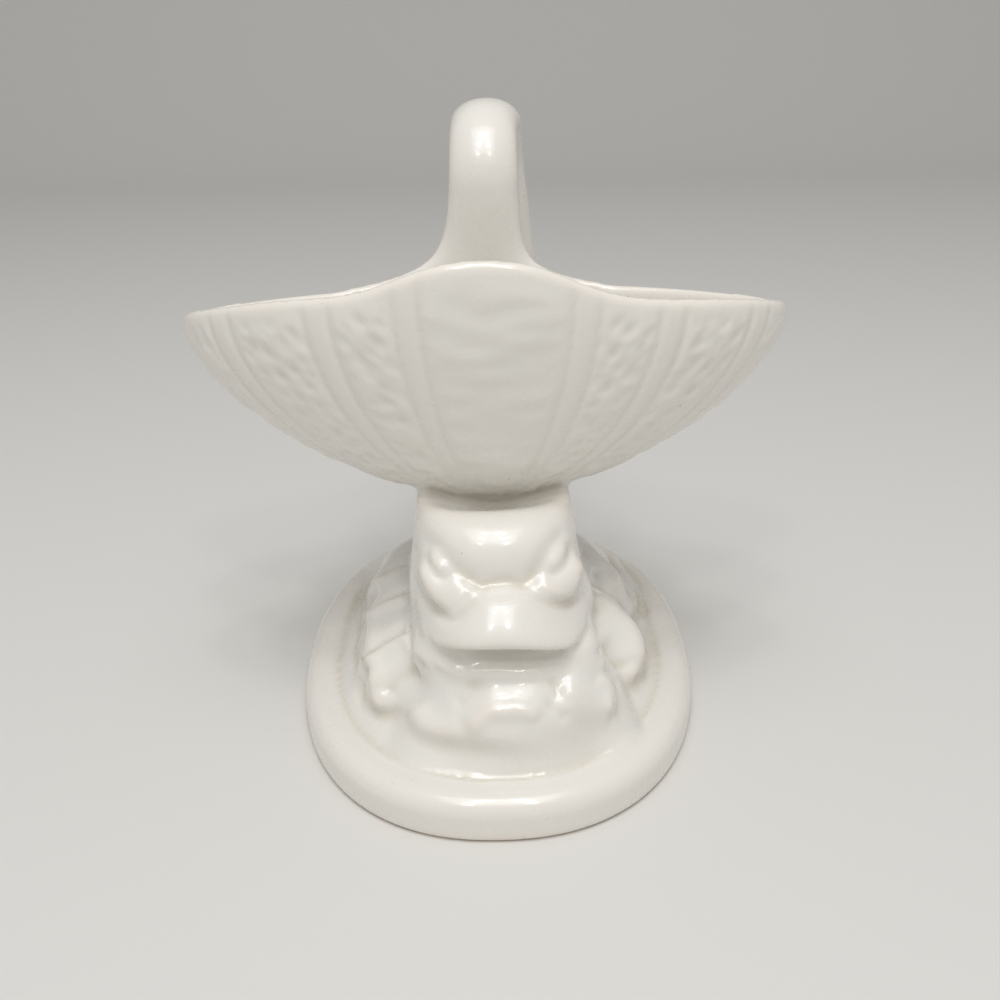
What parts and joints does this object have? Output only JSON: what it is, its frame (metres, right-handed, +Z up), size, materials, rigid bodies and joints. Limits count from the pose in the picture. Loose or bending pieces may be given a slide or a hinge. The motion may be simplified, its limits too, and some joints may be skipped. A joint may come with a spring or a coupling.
{
  "type": "fish planter",
  "caption": "Glazed earthenware planter: a sea fish on an oval foot carries a boat-shaped scallop shell bowl, its tail looping over as a handle.",
  "frame": {"origin": "on the standing surface, under the centre of the oval plinth", "axes": "+Z up, the fish faces -Y, the shell's long axis along X"},
  "size_m": [0.1856, 0.188, 0.2011],
  "materials": {
    "glazed_earthenware": "semi-gloss warm white glaze over slip-cast earthenware, bare on the foot ring"
  },
  "bodies": {
    "root": {"plinth": "glazed_earthenware", "chin_wave": "glazed_earthenware", "left_fin": "glazed_earthenware", "right_wave": "glazed_earthenware", "right_fin": "glazed_earthenware", "fish_head": "glazed_earthenware", "fish_body": "glazed_earthenware", "tail_handle": "glazed_earthenware", "shell_bowl": "glazed_earthenware"}
  },
  "joints": []
}
